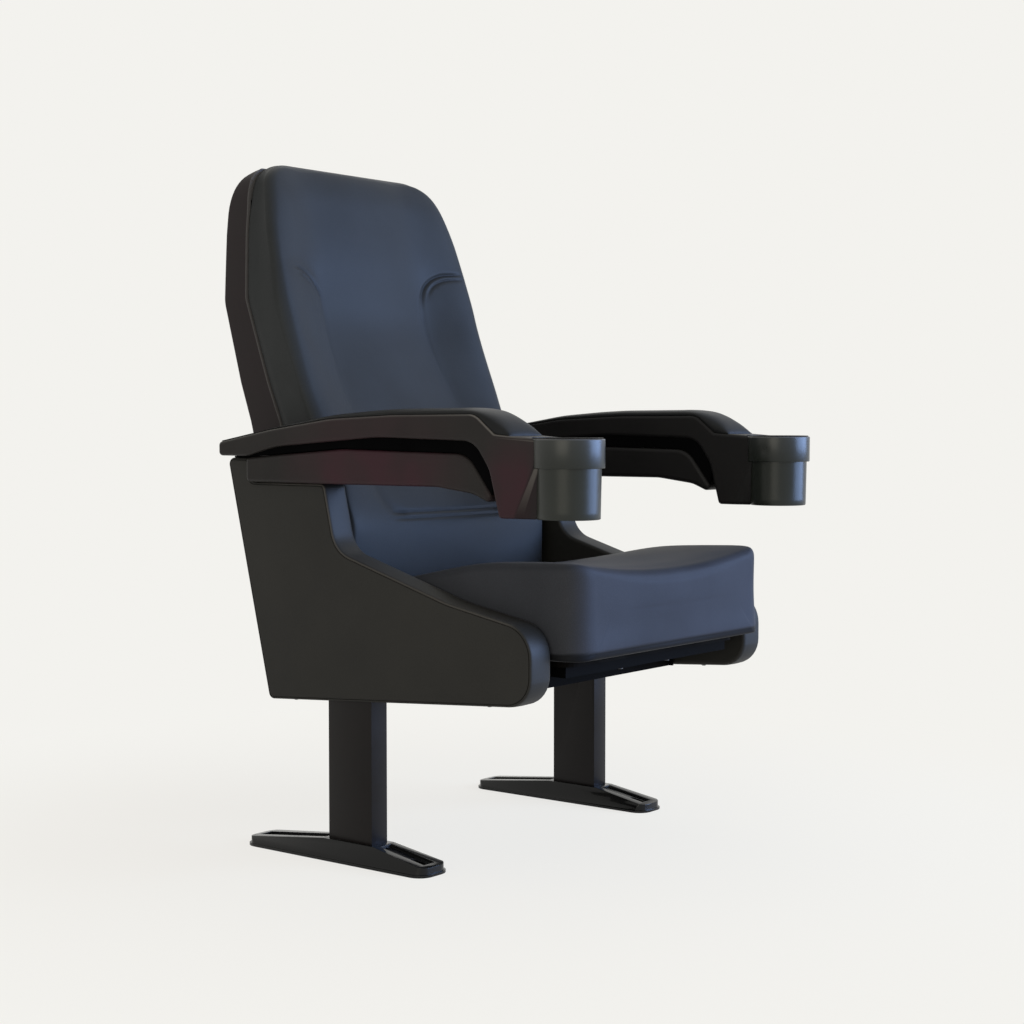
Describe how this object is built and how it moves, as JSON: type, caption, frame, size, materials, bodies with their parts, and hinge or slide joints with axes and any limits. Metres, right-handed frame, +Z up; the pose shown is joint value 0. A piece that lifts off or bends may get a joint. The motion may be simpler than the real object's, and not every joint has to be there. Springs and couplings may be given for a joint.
{
  "type": "cinema recliner seat",
  "caption": "Cinema seat with a push-back reclining back, a sliding seat cushion, lift-up arms with cup holders, padded side panels and slotted floor stands.",
  "frame": {"origin": "on the floor, under the middle of the bounding box", "axes": "+Z up, the sitter faces -Y, and right_ pieces are on the sitter's right at -X"},
  "size_m": [0.6474, 0.7516, 1.044],
  "materials": {
    "gloss_black_paint": "gloss",
    "satin_black_paint": "satin",
    "inner_steel": "satin",
    "zinc_steel": "satin",
    "pin_steel": "polished",
    "bush_bronze": "satin",
    "black_screw": "satin",
    "panel_leather": "fine grain",
    "seat_leather": "smooth",
    "back_leather": "smooth",
    "pad_leather": "fine grain",
    "shell_plastic": "textured",
    "arm_plastic": "satin",
    "cup_plastic": "satin",
    "liner_plastic": "matte",
    "shoe_plastic": "matte",
    "buffer_rubber": "matte",
    "board_wood": "plain"
  },
  "bodies": {
    "stand": {"right_foot": "gloss_black_paint", "left_foot": "gloss_black_paint", "right_column": "satin_black_paint", "left_column": "satin_black_paint", "column_bolts": "zinc_steel", "right_side_frame": "inner_steel", "left_side_frame": "inner_steel", "right_side_plate": "inner_steel", "left_side_plate": "inner_steel", "plate_bolts": "zinc_steel", "right_side_panel": "panel_leather", "left_side_panel": "panel_leather", "panel_screws": "black_screw", "right_arm_beam": "arm_plastic", "left_arm_beam": "arm_plastic", "beam_bolts": "zinc_steel", "right_arm_bracket": "inner_steel", "left_arm_bracket": "inner_steel", "right_arm_pin": "pin_steel", "left_arm_pin": "pin_steel", "arm_buffers": "buffer_rubber", "front_cross_tube": "inner_steel", "rear_cross_tube": "inner_steel", "seat_rails": "zinc_steel", "seat_stops": "buffer_rubber", "strut_bodies": "inner_steel", "pivot_bushes": "bush_bronze"},
    "seat": {"seat_cushion": "seat_leather", "seat_board": "board_wood", "seat_frame": "inner_steel", "seat_shoes": "shoe_plastic", "strut_rods": "pin_steel", "seat_screws": "zinc_steel"},
    "back": {"back_cushion": "back_leather", "back_board": "board_wood", "back_shell": "shell_plastic", "back_frame": "inner_steel", "back_pins": "pin_steel", "back_screws": "zinc_steel"},
    "right_arm": {"right_arm_shell": "arm_plastic", "right_arm_pad": "pad_leather", "right_arm_hinge": "inner_steel", "right_arm_screws": "zinc_steel", "right_cup_ring": "cup_plastic", "right_cup_body": "cup_plastic", "right_cup_liner": "liner_plastic"},
    "left_arm": {"left_arm_shell": "arm_plastic", "left_arm_pad": "pad_leather", "left_arm_hinge": "inner_steel", "left_arm_screws": "zinc_steel", "left_cup_ring": "cup_plastic", "left_cup_body": "cup_plastic", "left_cup_liner": "liner_plastic"}
  },
  "joints": [
    {"name": "back_recline", "type": "hinge", "parent": "stand", "child": "back", "pos_m": [0, 0.19356, 0.43], "axis": [-1, 0, 0], "range_deg": [0, 14], "stiffness_Nm_per_rad": 60, "springref_deg": -28.65},
    {"name": "seat_slide", "type": "slide", "parent": "stand", "child": "seat", "axis": [0, -1, 0], "range_m": [0, 0.031]},
    {"name": "right_arm_lift", "type": "hinge", "parent": "stand", "child": "right_arm", "pos_m": [-0.275, 0.28635, 0.598], "axis": [-1, 0, 0], "range_deg": [0, 95]},
    {"name": "left_arm_lift", "type": "hinge", "parent": "stand", "child": "left_arm", "pos_m": [0.275, 0.28635, 0.598], "axis": [-1, 0, 0], "range_deg": [0, 95]}
  ],
  "couplings": [
    {"joint": "seat_slide", "follows": "back_recline", "m_per_rad": 0.125}
  ]
}
